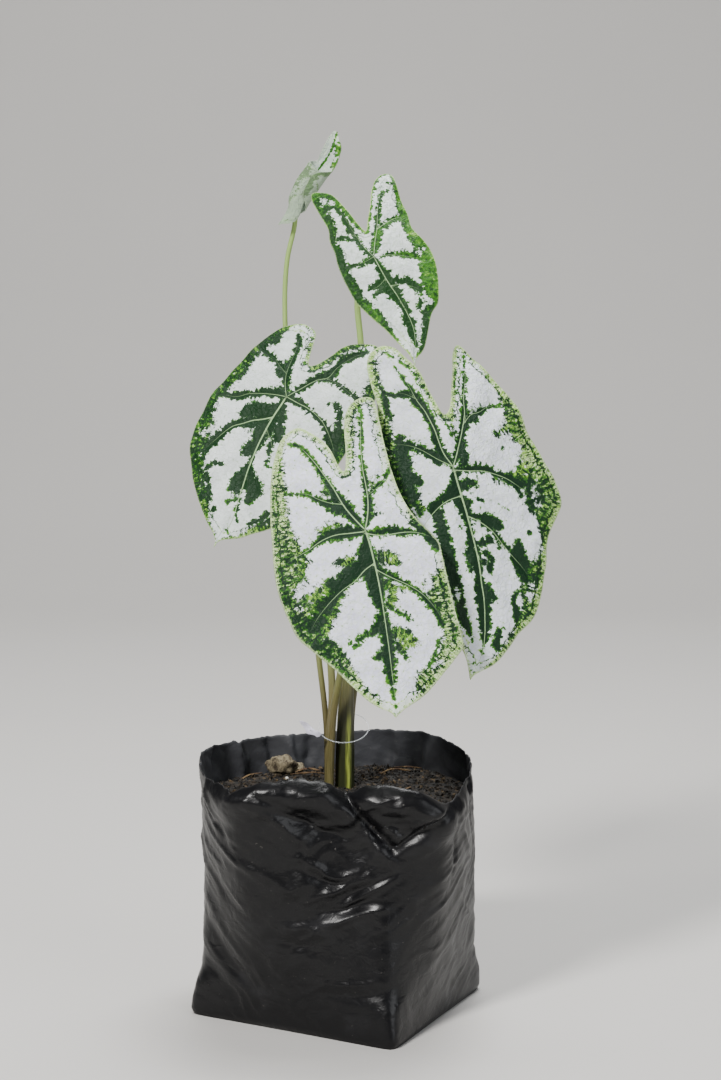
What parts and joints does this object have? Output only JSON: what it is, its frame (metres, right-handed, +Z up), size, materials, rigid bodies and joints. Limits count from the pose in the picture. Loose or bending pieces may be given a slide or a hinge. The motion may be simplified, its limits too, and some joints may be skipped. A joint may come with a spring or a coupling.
{
  "type": "potted caladium plant",
  "caption": "Leafy white and green caladium growing from a buried tuber in a soil-filled black polythene nursery bag that stands on its flat base.",
  "frame": {"origin": "centre of the bag's flat base, where the tuber's axis meets the surface that it stands on", "axes": "+Z up along the plant, -Y towards the side that the leaves face, +X to the right as the leaves are looked at"},
  "size_m": [0.2136, 0.1984, 0.5101],
  "materials": {
    "black_film": "glossy black polythene film with crumples and soft folds",
    "potting_mix": "damp crumbly mix of coco husk, rice husk and compost",
    "tuber_skin": "rough brown corky skin with thick pale roots",
    "stalk_green": "satin pale green stalk, browner and streaked towards its foot",
    "sheath_olive": "satin dark olive sheath fading to pale green above",
    "leaf": "satin thin leaf, lavender white with dark green veining and a mottled lime green margin",
    "clear_nylon": "clear thin nylon filament",
    "blank_tag": "matte blank white scrap of tag"
  },
  "bodies": {
    "root": {"grow_bag": "black_film", "soil": "potting_mix", "tuber": "tuber_skin", "stalk_front": "stalk_green", "stalk_right": "stalk_green", "stalk_left": "stalk_green", "stalk_upper": "sheath_olive", "stalk_young": "stalk_green", "blade_front": "leaf", "blade_right": "leaf", "blade_left": "leaf", "blade_upper": "leaf", "blade_young": "leaf", "tag_loop": "clear_nylon", "tag": "blank_tag"}
  },
  "joints": []
}
